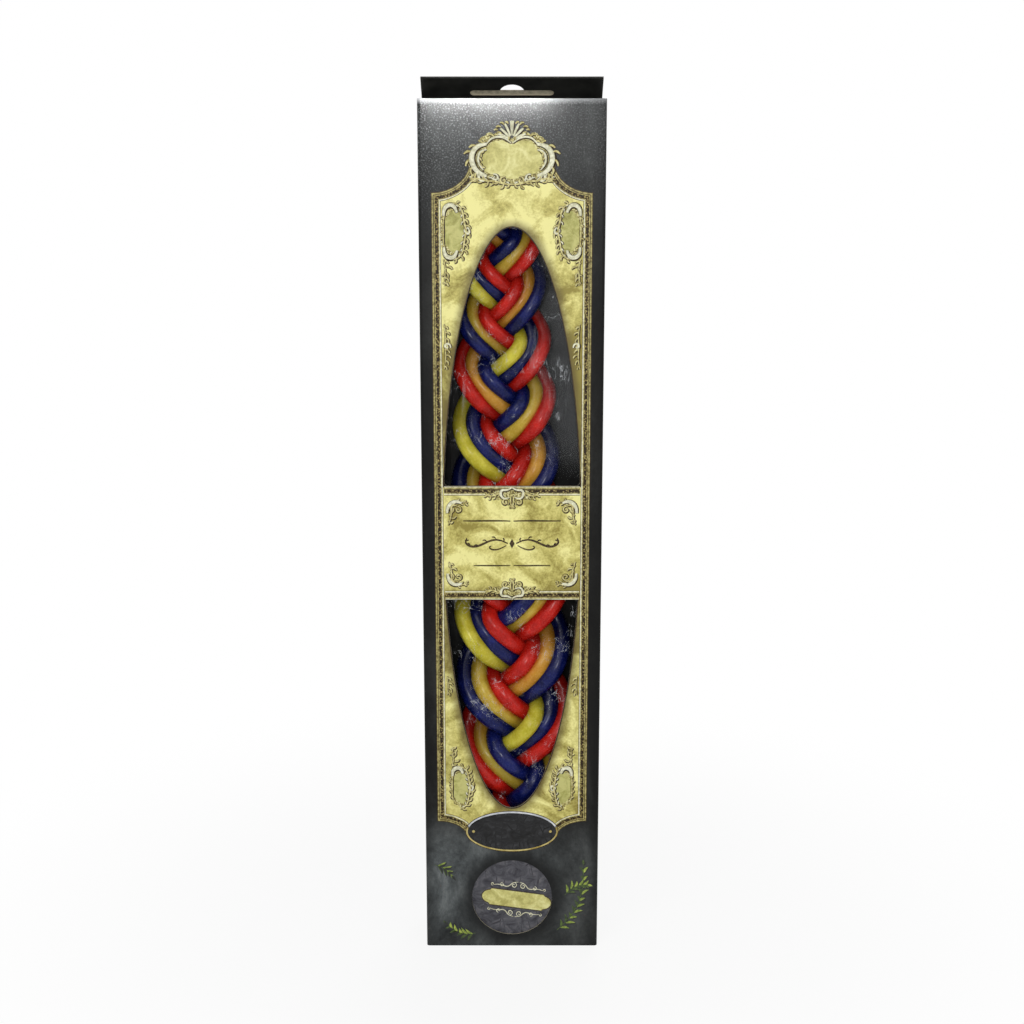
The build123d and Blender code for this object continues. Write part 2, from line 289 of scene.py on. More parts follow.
# the printed side of each board
cartonFaces = {
    (0, -1, 0): ("front_panel", "tuck_flap"),
    (0, 1, 0): ("back_panel", "glue_flap"),
    (-1, 0, 0): ("left_side_panel",),
    (1, 0, 0): ("right_side_panel",),
    (0, 0, -1): ("bottom_outer_flap", "bottom_inner_flap", "bottom_dust_left", "bottom_dust_right"),
    (0, 0, 1): ("lid_panel", "dust_flap_left", "dust_flap_right"),
}


def paint(node, material):
    mesh = frame["nodes"][node].data
    mesh.materials.clear()
    mesh.materials.append(material)


for outward, nodes in cartonFaces.items():
    for node in nodes:
        paint(node, cartonBoard(node.replace("_", " ") + " print", outward, node == "front_panel"))
tabFinish = blackTab()
for node in ("hang_tab_front", "hang_tab_rear"):
    paint(node, tabFinish)
cardFinish = blackCard()
for node in ("backing_card", "shelf_panel", "shelf_leg_left", "shelf_leg_right"):
    paint(node, cardFinish)
print("carton painted")


# Finishes of the printed frame
goldPaintedLight = {
    "lift": 0.05, "low": (285, 225), "lowDrop": 0.06,
    "middleTop": (295, 255), "middleFoot": (195, 215), "middleDrop": 0.05,
    "right": (0, 28), "rightDrop": 0.015, "rightMiddleDrop": 0.06,
}


def goldLeaf(name, dark, mid, pale, spot=9.0, edge=None):
    finish = Finish(name)
    patches = finish.noise(spot, 5, 0.6, warp=0.8)
    specks = finish.noise(0.9, 4, 0.75)
    wide = finish.noise(34, 2, 0.5)
    tone = patches * 0.62 + wide * 0.34 + (specks - 0.5) * 0.24
    x, y, z = finish.axes()
    if edge:
        # painted light and shade: paler above the window, darker beside it and to the right
        low = finish.span(z, *goldPaintedLight["low"])
        middle = finish.span(z, *goldPaintedLight["middleTop"]) * finish.span(z, *goldPaintedLight["middleFoot"])
        drop = goldPaintedLight["rightDrop"] + middle * goldPaintedLight["rightMiddleDrop"]
        tone = tone + goldPaintedLight["lift"] - low * goldPaintedLight["lowDrop"] - middle * goldPaintedLight["middleDrop"]
        tone = tone - finish.span(x, *goldPaintedLight["right"]) * drop
    colour = finish.ramp(tone, (0.38, dark), (0.47, mid), (0.56, pale))
    if edge:
        # a shaded band along the window's edge; away is the distance from it
        across = x / edge["halfWide"]
        along = (z - edge["centre"]) / edge["halfHigh"]
        reach = (across * across + along * along).power(0.5)
        slopeX = across / edge["halfWide"]
        slopeZ = along / edge["halfHigh"]
        away = (reach - 1) * reach / (slopeX * slopeX + slopeZ * slopeZ).power(0.5)
        flank = finish.span(abs(z - edge["centre"]), 22, 30)
        shade = finish.span(away + (patches - 0.5) * 2.5, edge["shade"], 0)
        colour = finish.mix(shade * flank * 0.85, colour, edge["shadeTone"])
    return finish.plain(colour, 0.36 + specks * 0.16, (specks, 0.02, 0.4), 0.25)


def lineFinish(name, first, second, size=1.1):
    finish = Finish(name)
    fleck = finish.noise(size, 3, 0.7)
    colour = finish.ramp(fleck, (0.36, first), (0.62, second))
    return finish.plain(colour, 0.38 + fleck * 0.15, (fleck, 0.02, 0.4), 0.25)


def carvedFinish():
    # the ground under the scrolls: curled light and dark, like small carving
    finish = Finish("carved gold")
    curl = finish.noise(1.5, 4, 0.62, warp=2.4)
    fleck = finish.noise(0.5, 3, 0.7)
    colour = finish.ramp(curl + (fleck - 0.5) * 0.22,
                         (0.37, (0.05, 0.033, 0.009)), (0.46, (0.27, 0.22, 0.06)),
                         (0.55, (0.58, 0.53, 0.20)), (0.66, (0.84, 0.82, 0.56)))
    return finish.plain(colour, 0.40 + fleck * 0.15, (curl, 0.05, 0.5), 0.25)


def beadFinish():
    finish = Finish("bead row")
    beads = finish.cells(0.85)
    fleck = finish.noise(2.4, 3, 0.6)
    colour = finish.ramp(beads + (fleck - 0.5) * 0.5,
                         (0.20, (0.36, 0.29, 0.10)), (0.40, (0.11, 0.075, 0.022)),
                         (0.58, (0.020, 0.012, 0.004)))
    return finish.plain(colour, 0.42 + fleck * 0.1, (1 - beads, 0.12, 0.6), 0.2)


filmMargin = 3.0    # the film is this much wider than the window all round
window = {
    "centre": (filmLow.z + filmHigh.z) / 2 / mm,
    "halfWide": filmHigh.x / mm - filmMargin,
    "halfHigh": (filmHigh.z - filmLow.z) / 2 / mm - filmMargin,
    "bandLow": 148.3, "bandHigh": 194.2, "room": 0.12, "line": 0.4,
    "shade": 4.2, "shadeTone": (0.11, 0.080, 0.024),
}
goldField = goldLeaf("gold field", (0.29, 0.24, 0.050), (0.57, 0.51, 0.150), (0.84, 0.79, 0.320),
                     12.0, window)
goldPale = goldLeaf("pale cartouche gold", (0.44, 0.40, 0.12), (0.62, 0.58, 0.21), (0.76, 0.73, 0.33), 6.0)
goldOlive = goldLeaf("olive cartouche gold", (0.27, 0.26, 0.065), (0.40, 0.385, 0.115), (0.54, 0.52, 0.19),
                     4.0)
frameGold = lineFinish("frame gold", (0.15, 0.115, 0.030), (0.52, 0.46, 0.17))
scrollGold = lineFinish("scroll gold", (0.34, 0.28, 0.080), (0.74, 0.68, 0.32))
frameBrown = lineFinish("frame brown", (0.018, 0.010, 0.003), (0.075, 0.046, 0.014))
frameCream = lineFinish("frame cream", (0.56, 0.54, 0.34), (0.84, 0.83, 0.63))
carvedGold = carvedFinish()
frameBeads = beadFinish()


# Flat print: curves drawn in millimetres as (x, z) on the carton's face, made into meshes
standUp = Matrix.Rotation(math.pi / 2, 4, "X")


def curveMesh(curve, name, finish):
    # the curve's shape as a mesh; the curve itself is taken away again
    made = bpy.data.objects.new(name + "_line", curve)
    bpy.context.scene.collection.objects.link(made)
    bpy.context.view_layer.update()
    mesh = bpy.data.meshes.new_from_object(made.evaluated_get(bpy.context.evaluated_depsgraph_get()))
    bpy.data.objects.remove(made)
    bpy.data.curves.remove(curve)
    mesh.name = name
    mesh.materials.clear()
    mesh.materials.append(finish)
    return mesh


def landMesh(curve, name, place, flat, finish, body):
    mesh = curveMesh(curve, name, finish)
    mesh.transform(place @ Matrix.Diagonal((mm, mm, flat * mm, 1)))
    return placePiece(mesh, name, body)


def tubeCurve(name, radius, sides, steps):
    curve = bpy.data.curves.new(name, "CURVE")
    curve.dimensions = "3D"
    curve.fill_mode = "FULL"
    curve.bevel_depth = radius
    curve.bevel_resolution = sides
    curve.resolution_u = steps
    curve.use_fill_caps = True
    return curve


def addTube(curve, points, shares):
    # a smooth line led by the points, with the tube's share of its radius at each
    spline = curve.splines.new("NURBS")
    spline.points.add(len(points) - 1)
    for point, place, share in zip(spline.points, points, shares):
        point.co = (*place, 1)
        point.radius = share
    spline.order_u = 4
    spline.use_endpoint_u = True


def bmeshMesh(bm, name, finish):
    mesh = bpy.data.meshes.new(name)
    bm.to_mesh(mesh)
    bm.free()
    mesh.materials.append(finish)
    return mesh


def placePiece(mesh, name, body):
    piece = bpy.data.objects.new(name, mesh)
    bpy.context.scene.collection.objects.link(piece)
    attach(piece, body)
    return piece


def onFace(y, lift):
    # upright, facing the front, lifted off the face at y
    return Matrix.Translation((0, (faceY if y is None else y) - lift * mm, 0)) @ standUp


def flatPrint(name, outlines, lift, finish, y=None, body="carton", slot="printed_board", place=None,
              thick=0.0):
    curve = bpy.data.curves.new(name, "CURVE")
    curve.dimensions = "2D"
    curve.fill_mode = "BOTH"
    curve.extrude = thick / 2
    for outline in outlines:
        spline = curve.splines.new("POLY")
        spline.points.add(len(outline) - 1)
        for point, (x, z) in zip(spline.points, outline):
            point.co = (x, z, 0, 1)
        spline.use_cyclic_u = True
    return landMesh(curve, name, place or onFace(y, lift), 1, finish, body)


def linePrint(name, strokes, lift, finish, y=None, body="carton", slot="printed_board", flat=0.16):
    curve = tubeCurve(name, 1.0, 1, 3)
    for width, points in strokes:
        shares = [0.12 + 0.76 * k / (len(points) - 1) for k in range(len(points))]
        swell = [width / 2 * (0.22 + 0.78 * math.sin(math.pi * share)) for share in shares]
        addTube(curve, [(x, z, 0) for x, z in points], swell)
    return landMesh(curve, name, onFace(y, lift), flat, finish, body)


def arc(x, z, wide, high, start, end, steps):
    turns = [math.radians(start + (end - start) * k / steps) for k in range(steps + 1)]
    return [(x + wide * math.cos(t), z + high * math.sin(t)) for t in turns]


def mirrored(points):
    return [(-x, z) for x, z in points]


def shifted(points, shift):
    return [(x + shift[0], z + shift[1]) for x, z in points]


def bothSides(strokes):
    return strokes + [(width, mirrored(points)) for width, points in strokes]


# Raw board of the slot's cut-out, still in place below the bump
slotFlap = {
    "end": 14.5, "radius": 1.42, "top": 0.75, "back": 0.2, "thick": 0.3,
    "dark": (0.40, 0.36, 0.26), "pale": (0.62, 0.57, 0.43),
}


def slotPlane():
    # the plane of the tab at the slot, facing the front, set back a little
    mount = next(mount for mount in frame["record"]["mounts"] if mount["name"] == "hang_slot")
    across = Vector((1, 0, 0))
    out = -Vector(mount["axis"])
    plane = Matrix((across, out.cross(across), out)).transposed().to_4x4()
    plane.translation = Vector(mount["pos_m"]) - out * slotFlap["back"] * mm
    return plane


def slotOutline():
    radius = slotFlap["radius"]
    turn = math.degrees(math.asin(slotFlap["top"] / radius))
    right = arc(slotFlap["end"], 0, radius, radius, -90, turn, 8)
    return right + arc(-slotFlap["end"], 0, radius, radius, 180 - turn, 270, 8)


rawBoard = lineFinish("raw slot board", slotFlap["dark"], slotFlap["pale"], 2)
flatPrint("slot_flap", [slotOutline()], 0, rawBoard, body="hang_tab", place=slotPlane(),
          thick=slotFlap["thick"])
print("slot flap laid")


# Gold field and its frame
panel = {
    "halfWide": 30.2, "top": 306.0, "foot": 55.0,
    "crestHalf": 15.8, "shoulderRise": 11.5,
    "footHalf": 18.4, "footDrop": 6.6,
    "rings": (("brown", 0.30), ("gold", 0.50), ("brown", 0.25), ("gold", 0.35), ("beads", 1.25),
              ("gold", 0.35), ("cream", 0.40), ("brown", 0.20)),
    "inset": 3.0, "lift": 0.02, "lineLift": 0.028, "frameLift": 0.03, "bandLift": 0.032,
}


def panelSide(shrink):
    # the right edge of the panel from the crest to the plaque, set in by shrink
    edge = panel["halfWide"]
    wide = edge - panel["crestHalf"] + shrink
    rise = panel["shoulderRise"]
    turn = math.degrees(math.acos(-shrink / wide))
    points = arc(edge, panel["top"] + rise, wide, rise + shrink, 180, 360 - turn, 14)
    wide = edge - panel["footHalf"] + shrink
    drop = panel["footDrop"]
    turn = math.degrees(math.acos(-shrink / wide))
    return points + arc(edge, panel["foot"] - drop, wide, drop + shrink, turn, 180, 12)


def panelOutline(shrink):
    right = panelSide(shrink)
    return right + mirrored(reversed(right))


def windowOutline(upper, grow=0.0):
    wide = window["halfWide"] + grow
    high = window["halfHigh"] + grow
    edge = (window["bandHigh"] - grow if upper else window["bandLow"] + grow) - window["centre"]
    start = math.degrees(math.asin(edge / high))
    end = (180 if upper else -180) - start
    return arc(0, window["centre"], wide, high, start, end, 64)


openings = [windowOutline(upper, window["room"]) for upper in (True, False)]
flatPrint("gold_field", [panelOutline(panel["inset"])] + openings, panel["lift"], goldField)
for upper, name in ((True, "upper_window_line"), (False, "lower_window_line")):
    edges = [windowOutline(upper, grow) for grow in (window["room"], window["room"] + window["line"])]
    flatPrint(name, edges, panel["lineLift"], frameBrown)
ringFinishes = {"brown": frameBrown, "gold": frameGold, "beads": frameBeads, "cream": frameCream}


def rows(widths):
    # each row's colour and its two edges, counted from the outside
    edge = 0.0
    for colour, width in widths:
        yield colour, edge, edge + width
        edge += width


def layRows(name, strips, lift):
    for colour, outlines in strips.items():
        flatPrint(f"{name}_{colour}", outlines, lift, ringFinishes[colour])


strips = {}
for colour, outer, inner in rows(panel["rings"]):
    strip = panelSide(outer) + panelSide(inner)[::-1]
    strips.setdefault(colour, []).extend([strip, mirrored(strip)])
layRows("panel_frame", strips, panel["frameLift"])
print("gold field and frame laid")


# Frame lines along the top and the foot of the label band, between the two windows
band = {
    "halfWide": 26.3, "low": window["bandLow"] + 0.25, "high": window["bandHigh"] - 0.25,
    "lineRows": (("cream", 0.30), ("gold", 0.70), ("brown", 0.30), ("beads", 1.20),
                 ("gold", 0.40), ("cream", 0.45), ("brown", 0.20)),
}


strips = {}
for edge, way in ((band["high"], -1), (band["low"], 1)):
    for colour, outer, inner in rows(band["lineRows"]):
        low, high = sorted((edge + way * outer, edge + way * inner))
        wide = band["halfWide"]
        strips.setdefault(colour, []).append([(-wide, low), (wide, low), (wide, high), (-wide, high)])
layRows("band_frame", strips, panel["bandLift"])
print("label band laid")


# Scroll ornament: lines with leaf lobes along them, each in a dark outline
def polar(x, z, reach, turn):
    return x + reach * math.cos(turn), z + reach * math.sin(turn)


def volute(x, z, size, start, turns, hand, steps=14):
    points = []
    for k in range(steps + 1):
        share = k / steps
        turn = math.radians(start) + hand * turns * 2 * math.pi * share
        points.append(polar(x, z, size * (1 - 0.82 * share), turn))
    return points


def spotOn(points, share):
    # the place and heading at a share of the way along a line
    spans = [math.dist(a, b) for a, b in zip(points, points[1:])]
    left = share * sum(spans)
    for a, b, span in zip(points, points[1:], spans):
        if left <= span:
            break
        left -= span
    part = left / span
    return a[0] + (b[0] - a[0]) * part, a[1] + (b[1] - a[1]) * part, math.atan2(b[1] - a[1], b[0] - a[0])


def lobes(points, count, size, hand, width):
    # leaf lobes along one side of a line; hand is 1 on its left
    strokes = []
    for k in range(count):
        share = (k + 0.5) / count
        x, z, heading = spotOn(points, share)
        reach = size * (0.6 + 0.4 * math.sin(math.pi * share))
        out = heading + hand * math.radians(68)
        tip = heading + hand * math.radians(14)
        middle = polar(x, z, 0.62 * reach, out)
        strokes.append((width, [(x, z), middle, middle, polar(*middle, 0.6 * reach, tip)]))
    return strokes


def scalloped(outline, bumps, rise):
    # a closed outline with a row of round lobes standing out from it
    ring = outline + outline[:1]
    area = sum(a[0] * b[1] - b[0] * a[1] for a, b in zip(ring, ring[1:]))
    steps = bumps * 6
    points = []
    for k in range(steps):
        x, z, heading = spotOn(ring, k / steps)
        out = math.copysign(rise, area) * abs(math.sin(math.pi * bumps * k / steps))
        points.append((x + out * math.sin(heading), z - out * math.cos(heading)))
    return points


def shell(x, z, rays, length, spread, width):
    # a fan of rays standing on one point
    strokes = []
    for k in range(rays):
        turn = math.radians(90 - spread * k / (rays - 1))
        reach = length * (1 - 0.28 * k / rays)
        strokes.append((width, [polar(x, z, 0.25 * reach, turn), polar(x, z, 0.7 * reach, turn),
                                polar(x, z, reach, turn - 0.06)]))
    return strokes


crest = {
    "field": [(0, 323.4), (3.6, 324.9), (7.2, 324.5), (8.9, 322.4), (10.8, 320.4), (11.4, 317.0),
              (10.6, 314.2), (7.8, 312.6), (5.4, 312.9), (3.6, 311.4), (0, 310.9)],
    "main": [(9.4, 323.6), (13.0, 323.3), (15.2, 320.2), (15.0, 316.2), (12.8, 313.0), (9.4, 312.0)],
    "inner": [(9.4, 321.6), (11.8, 321.4), (12.9, 318.8), (12.4, 316.0), (10.6, 314.2)],
    "arch": [(0.3, 324.0), (2.6, 326.0), (5.6, 326.6), (8.2, 325.6), (9.6, 323.4)],
    "spray": [(0.6, 331.2), (3.6, 330.4), (5.8, 328.2)],
    "swag": [(0.0, 309.0), (3.2, 308.8), (6.2, 310.6), (9.6, 309.8), (13.0, 311.6), (15.6, 310.8)],
    "lobes": (("main", 7, 3.0, 1, 1.05), ("inner", 5, 1.9, -1, 0.8), ("arch", 4, 2.2, 1, 0.9),
              ("swag", 8, 2.2, -1, 0.85), ("spray", 4, 1.7, 1, 0.8)),
}
side = {
    "x": 21.6, "middle": 291.6,
    "field": [(20.4, 299.8), (23.0, 298.8), (25.0, 296.0), (25.4, 291.6), (25.0, 287.2), (23.0, 284.4),
              (20.4, 283.4), (18.8, 286.4), (17.9, 291.6), (18.8, 296.8)],
    "inner": [(22.0, 302.2), (19.4, 301.4), (18.2, 298.6), (18.0, 295.2), (16.8, 291.6), (18.0, 288.0),
              (18.2, 284.6), (19.4, 281.8), (22.0, 281.0)],
    "outer": [(25.2, 297.8), (26.0, 294.8), (25.4, 291.6), (26.0, 288.4), (25.2, 285.4)],
    "crescent": [(20.6, 298.6), (21.2, 301.2), (23.6, 301.9), (25.6, 300.2), (25.5, 297.4)],
    "gem": [(16.6, 293.2), (15.4, 291.6), (16.6, 290.0), (17.8, 291.6), (16.8, 293.0)],
    "trail": [(25.8, 281.4), (24.4, 278.2), (25.6, 275.0), (25.2, 271.4)],
}
lowPlace = {"x": 20.6, "z": 69.6, "share": 0.86}    # where the side cartouche stands again at the foot
edgeTrails = (
    ([(25.8, 257.0), (24.8, 252.6), (25.8, 248.4), (24.8, 244.2), (25.8, 239.8)], 8),
    ([(25.8, 117.0), (25.0, 113.0), (25.8, 109.0)], 4),
)
corner = {
    "line": [(24.8, 178.6), (23.2, 182.0), (24.6, 185.8), (21.6, 188.6), (17.0, 187.6)],
    "crescent": [(25.2, 183.4), (25.2, 187.4), (22.2, 188.9), (19.6, 187.4)],
    "curl": volute(21.0, 184.8, 1.5, 60, 1.1, 1),
}
bandTop = {
    "frame": [(0.2, 193.4), (2.0, 192.2), (3.9, 193.2), (4.8, 190.8), (3.2, 188.4), (1.2, 189.6)],
    "wing": [(4.4, 191.8), (6.2, 190.2), (8.8, 189.8), (10.6, 190.8)],
    "drop": [(0.2, 190.6), (1.0, 188.6), (0.4, 186.6), (0.0, 185.4)],
    "curl": volute(2.6, 187.8, 1.4, 140, 1.1, -1),
    "ground": [(-6.6, 189.2), (6.6, 189.2), (6.6, 191.8), (-6.6, 191.8)],
}
bandMiddle = (band["low"] + band["high"]) / 2


# Each function gives its cream strokes and its gold strokes, as (width, points), for the right half
def crestStrokes():
    cream = [(2.3, crest["main"]), (1.0, crest["inner"]), (0.9, crest["arch"]),
             (0.9, volute(10.9, 311.2, 1.7, 100, 1.1, -1)), (0.8, volute(6.3, 311.4, 1.4, 60, 1.1, 1))]
    cream += shell(0.0, 325.0, 4, 7.0, 62, 1.35)
    cream += lobes(crest["swag"], 8, 1.9, 1, 0.75)
    gold = [(0.9, crest["swag"]), (0.8, volute(13.9, 311.6, 1.8, 200, 1.0, 1)),
            (0.8, volute(3.2, 310.4, 1.5, 120, 1.1, -1))]
    for line, *lobe in crest["lobes"]:
        gold += lobes(crest[line], *lobe)
    return cream, gold


def cartouche(points, low):
    # the side cartouche as drawn, or turned over and smaller for the lower corners
    if not low:
        return points
    share = lowPlace["share"]
    return [(lowPlace["x"] + (x - side["x"]) * share, lowPlace["z"] + (side["middle"] - z) * share)
            for x, z in points]


def flipped(points):
    return [(x, 2 * side["middle"] - z) for x, z in points]


def sideStrokes(low):
    hand = -1 if low else 1
    inner = cartouche(side["inner"], low)
    outer = cartouche(side["outer"], low)
    trail = cartouche(side["trail"], low)
    cream = [(1.9, cartouche(flipped(side["crescent"]), low)), (1.0, cartouche(side["gem"], low))]
    if not low:
        cream.append((1.9, side["crescent"]))
    cream += lobes(inner, 10, 1.5, hand, 0.6)
    gold = [(0.8, inner), (0.7, outer), (0.6, trail)]
    gold += lobes(inner, 11, 2.4, -hand, 0.85)
    gold += lobes(outer, 5, 1.2, hand, 0.7)
    gold += lobes(trail, 5, 2.4, -hand, 0.8)
    gold += lobes(trail, 4, 1.0, hand, 0.6)
    return cream, gold


def trailStrokes():
    gold = []
    for line, count in edgeTrails:
        gold += [(0.6, line)] + lobes(line, count, 2.2, -1, 0.8)
    return [(1.0, volute(24.6, 248.4, 1.4, 200, 1.0, -1))], gold


def inBand(points, low):
    # as drawn at the band's top, or turned over for its foot
    return [(x, 2 * bandMiddle - z if low else z) for x, z in points]


def bandStrokes(low):
    hand = -1 if low else 1
    line = inBand(corner["line"], low)
    wing = inBand(bandTop["wing"], low)
    drop = inBand(bandTop["drop"], low)
    cream = [(1.9, inBand(corner["crescent"], low)), (1.1, inBand(bandTop["frame"], low))]
    gold = [(0.7, line), (0.7, inBand(corner["curl"], low)), (0.8, wing), (0.8, drop),
            (0.8, inBand(bandTop["curl"], low))]
    gold += lobes(line, 8, 2.3, hand, 0.8)
    gold += lobes(line, 6, 1.2, -hand, 0.6)
    gold += lobes(wing, 4, 1.7, hand, 0.75)
    gold += lobes(wing, 4, 1.5, -hand, 0.7)
    gold += lobes(drop, 3, 1.4, hand, 0.6)
    return cream, gold


scroll = {
    "grow": 0.65, "shift": (0.12, -0.14),
    "groundLift": 0.035, "fieldLift": 0.038, "shadowLift": 0.040, "lineLift": 0.046,
}
groups = [crestStrokes(), sideStrokes(False), sideStrokes(True), trailStrokes(),
          bandStrokes(False), bandStrokes(True)]
creamStrokes = bothSides([stroke for cream, gold in groups for stroke in cream])
goldStrokes = bothSides([stroke for cream, gold in groups for stroke in gold])
# the dark outline of each stroke is wider and a little to the right and down
brownStrokes = [(width + scroll["grow"], shifted(points, scroll["shift"]))
                for width, points in creamStrokes + goldStrokes]
crestField = crest["field"] + mirrored(list(reversed(crest["field"][1:-1])))
sideFields = [side["field"], mirrored(side["field"])]
cornerFields = [cartouche(side["field"], True), mirrored(cartouche(side["field"], True))]


def carvedGround(field, wide, high, bumps):
    # a scalloped ground that stands out round a field
    midX, midZ = ((min(c) + max(c)) / 2 for c in zip(*field))
    outline = [(midX + (x - midX) * wide, midZ + (z - midZ) * high) for x, z in field]
    return scalloped(outline, bumps, 0.8)


grounds = [carvedGround(crestField, 1.36, 1.36, 24)]
grounds += [carvedGround(field, 1.26, 1.20, 15) for field in sideFields + cornerFields]
grounds += [scalloped(inBand(bandTop["ground"], low), 12, 0.7) for low in (False, True)]
flatPrint("carved_ground", grounds, scroll["groundLift"], carvedGold)
flatPrint("crest_field", [crestField], scroll["fieldLift"], goldPale)
flatPrint("side_fields", sideFields, scroll["fieldLift"], goldOlive)
flatPrint("corner_fields", cornerFields, scroll["fieldLift"], goldOlive)
linePrint("scroll_shadow", brownStrokes, scroll["shadowLift"], frameBrown, flat=0.02)
linePrint("scroll_gold", goldStrokes, scroll["lineLift"], scrollGold, flat=0.06)
linePrint("scroll_cream", creamStrokes, scroll["lineLift"], frameCream, flat=0.05)
print("scroll ornament laid:", len(creamStrokes) + len(goldStrokes), "strokes")


# Flourish and two rules in the middle of the band
flourish = {
    "stem": [(1.6, 171.2), (5.4, 173.6), (10.0, 171.8), (14.2, 169.4), (18.2, 170.6), (18.4, 172.6),
             (16.8, 172.6)],
    "under": [(2.2, 170.4), (5.4, 168.4), (8.6, 168.6), (9.2, 170.0), (8.0, 170.2)],
    "upperRule": [(0.6, 180.2), (6.0, 180.5), (12.0, 180.2), (19.0, 180.3)],
    "lowerRule": [(0.6, 162.4), (5.0, 162.1), (10.0, 162.4), (15.0, 162.3)],
    "diamond": [(0, 173.2), (1.0, 171.2), (0, 169.2), (-1.0, 171.2)],
    "widths": {"stem": 0.9, "under": 0.7, "upperRule": 0.8, "lowerRule": 0.7},
    "lift": 0.03, "diamondLift": 0.035,
}
flourishStrokes = [(width, flourish[line]) for line, width in flourish["widths"].items()]
flourishStrokes += lobes(flourish["stem"], 6, 1.7, 1, 0.7)
linePrint("band_flourish", bothSides(flourishStrokes), flourish["lift"], frameBrown, flat=0.04)
flatPrint("band_diamond", [flourish["diamond"]], flourish["diamondLift"], frameBrown)
print("flourish laid")


# Oval plaque under the gold field
plaque = {
    "x": 0.0, "z": 50.6, "halfWide": 18.3, "halfHigh": 8.4, "dot": 0.55, "dotX": 15.6,
    "shadow": 0.55, "face": -0.1, "rimOut": 0.25, "lowIn": -0.35, "highIn": -0.45,
    "lowTurn": (165, 375), "highTurn": (12, 168),
    "shadowLift": 0.045, "faceLift": 0.055, "rimLift": 0.065,
}


def slateFinish(name, dark, mid, pale, size):
    finish = Finish(name)
    veins = finish.noise(size, 7, 0.66, stretch=(1, 1, 1.6), turn=(0, 0.6, 0), warp=1.4)
    scratch = finish.cells(size * 1.3, "DISTANCE_TO_EDGE", stretch=(1.8, 1, 0.6), turn=(0, 0.5, 0))
    colour = finish.ramp(veins, (0.32, dark), (0.50, mid), (0.70, pale))
    colour = finish.mix(finish.span(scratch, 0.05, 0.0) * finish.span(veins, 0.45, 0.6), colour, dark)
    return finish.plain(colour, 0.42 + veins * 0.15, (veins, 0.06, 0.5), 0.15)


plaqueSlate = slateFinish("plaque slate", (0.010, 0.010, 0.010), (0.022, 0.022, 0.023),
                          (0.048, 0.049, 0.052), 6)
plaqueGold = lineFinish("plaque rim gold", (0.30, 0.22, 0.05), (0.62, 0.52, 0.20), 5)
plaqueSheen = lineFinish("plaque rim sheen", (0.42, 0.44, 0.46), (0.70, 0.72, 0.74), 5)


def ellipse(grow, start=0, end=360, steps=72):
    wide = plaque["halfWide"] + grow
    high = plaque["halfHigh"] + grow
    return arc(plaque["x"], plaque["z"], wide, high, start, end, steps)


def plaqueRim(half):
    turn = plaque[half + "Turn"]
    return [ellipse(plaque["rimOut"], *turn) + ellipse(plaque[half + "In"], *turn)[::-1]]


flatPrint("plaque_shadow", [ellipse(plaque["shadow"])[:-1]], plaque["shadowLift"], frameBrown)
flatPrint("plaque_face", [ellipse(plaque["face"])[:-1]], plaque["faceLift"], plaqueSlate)
flatPrint("plaque_rim_low", plaqueRim("low"), plaque["rimLift"], plaqueGold)
flatPrint("plaque_rim_high", plaqueRim("high"), plaque["rimLift"], plaqueSheen)
dot = plaque["dot"]
dots = [arc(hand * plaque["dotX"], plaque["z"], dot, dot, 0, 345, 23) for hand in (-1, 1)]
flatPrint("plaque_dots", dots, plaque["rimLift"], plaqueGold)
print("plaque laid")


# Leaf sprays printed beside the spice hole
def leafFinish(name, dark, pale):
    finish = Finish(name)
    tone = finish.noise(1.6, 3, 0.6)
    colour = finish.ramp(tone, (0.36, dark), (0.64, pale))
    return finish.plain(colour, 0.45 + tone * 0.1, (tone, 0.03, 0.4))


# each spray: foot, bend and tip of its stem, and its pairs of leaves
sprays = (
    ((18.5, 7.0), (31.5, 17.0), (29.0, 37.5), 11),
    ((21.5, 22.5), (26.0, 28.5), (31.5, 27.0), 6),
    ((-15.0, 5.6), (-21.0, 3.6), (-27.5, 10.5), 6),
    ((-31.5, 36.0), (-27.0, 35.0), (-24.5, 31.0), 4),
)
leaf = {
    "long": 4.6, "wide": 0.52, "points": 6, "spread": 0.85, "step": 0.002, "shift": (0.45, -0.45),
    "stem": 0.45, "shadowLift": 0.022, "stemLift": 0.05, "darkLift": 0.06, "paleLift": 0.065,
}


def leafOutline(root, turn, long, bend):
    # a narrow pointed leaf, bent to one side
    sides = []
    for hand in (1, -1):
        for k in range(leaf["points"]):
            share = k / leaf["points"] if hand > 0 else 1 - k / leaf["points"]
            across = hand * leaf["wide"] * math.sin(math.pi * share ** 0.8)
            across += bend * math.sin(math.pi * share)
            sides.append((root[0] + long * share * math.cos(turn) - across * math.sin(turn),
                          root[1] + long * share * math.sin(turn) + across * math.cos(turn)))
    return sides


def stemPoint(bow, share):
    # a place on the bowed stem, from its foot to its tip
    weights = ((1 - share) ** 2, 2 * share * (1 - share), share ** 2)
    return tuple(sum(w * point[c] for w, point in zip(weights, bow)) for c in (0, 1))


def leafSpray(bow, pairs):
    outlines = []
    for k in range(pairs):
        share = (k + 0.6) / pairs
        root = stemPoint(bow, share)
        ahead = stemPoint(bow, share + 0.02)
        aim = math.atan2(ahead[1] - root[1], ahead[0] - root[0])
        size = leaf["long"] * (1 - 0.35 * share) * (0.85 + 0.15 * math.sin(k * 2.3))
        hands = (1, -1) if k < pairs - 1 else (0,)
        for hand in hands:
            turn = aim + hand * leaf["spread"] * (1 - 0.3 * share)
            outlines.append(leafOutline(root, turn, size, -0.4 * hand))
    return outlines


